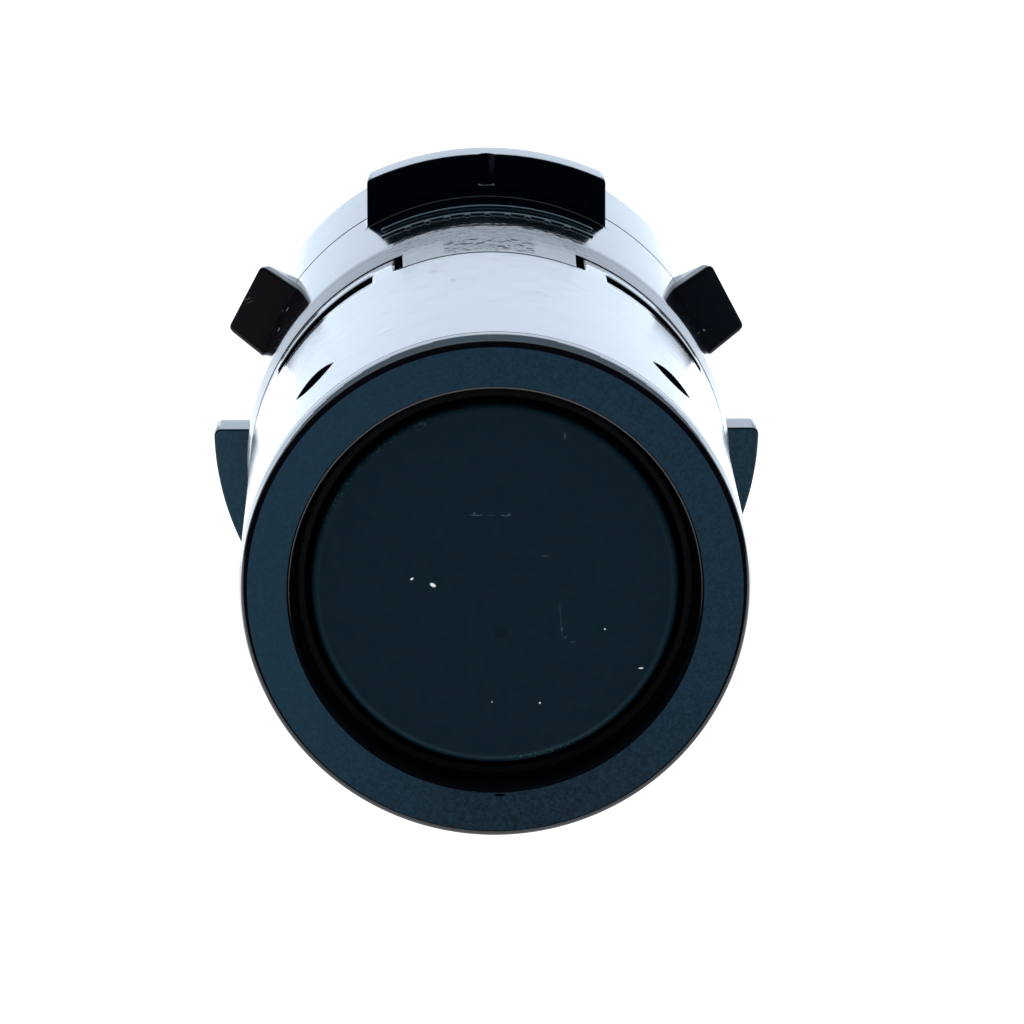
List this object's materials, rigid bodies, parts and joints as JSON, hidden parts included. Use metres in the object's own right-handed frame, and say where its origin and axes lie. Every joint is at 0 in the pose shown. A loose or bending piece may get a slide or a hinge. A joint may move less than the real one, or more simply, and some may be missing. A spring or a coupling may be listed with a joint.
{
  "type": "parking sensor",
  "caption": "Ultrasonic bumper parking sensor with a round clipped-on front sleeve, a flanged barrel with a stop bar and side lugs, and a rear connector shroud.",
  "frame": {"origin": "centre of the membrane's front face", "axes": "+Y along the sensor's axis from the membrane back to the connector, +Z towards the bar at the top, +X to the right of someone who faces the membrane"},
  "size_m": [0.0284, 0.0602, 0.0286],
  "materials": {
    "sleeve": "moulded black plastic, glossy round the side and finely textured on the front face",
    "housing": "glossy moulded black plastic",
    "membrane": "aluminium with a satin black lacquer, lightly worn at the edge",
    "silicone": "soft matt black silicone",
    "ceramic": "fired ceramic",
    "foam": "open grey foam",
    "filling": "cast clear silicone",
    "copper": "enamelled copper",
    "board": "green solder resist",
    "component_black": "matt black moulded resin",
    "ferrite": "dark sintered ferrite",
    "tin": "tinned metal",
    "resin": "amber moulded resin"
  },
  "bodies": {
    "root": {"front_sleeve": "sleeve", "decoupling_ring": "silicone", "membrane_cup": "membrane", "piezo_disc": "ceramic", "damping_foam": "foam", "cup_filling": "filling", "lead_wire_left": "copper", "lead_wire_right": "copper", "main_housing": "housing", "circuit_board": "board", "transformer_bobbin": "component_black", "transformer_winding": "copper", "transformer_core": "ferrite", "control_chip": "component_black", "quartz_crystal": "tin", "storage_capacitor": "resin", "filter_capacitor_1": "ceramic", "filter_capacitor_2": "ceramic", "bias_resistor_1": "component_black", "bias_resistor_2": "component_black", "protection_diode": "component_black", "contact_pin_1": "tin", "contact_pin_2": "tin", "contact_pin_3": "tin", "housing_seal": "silicone", "rear_housing": "housing"}
  },
  "joints": []
}
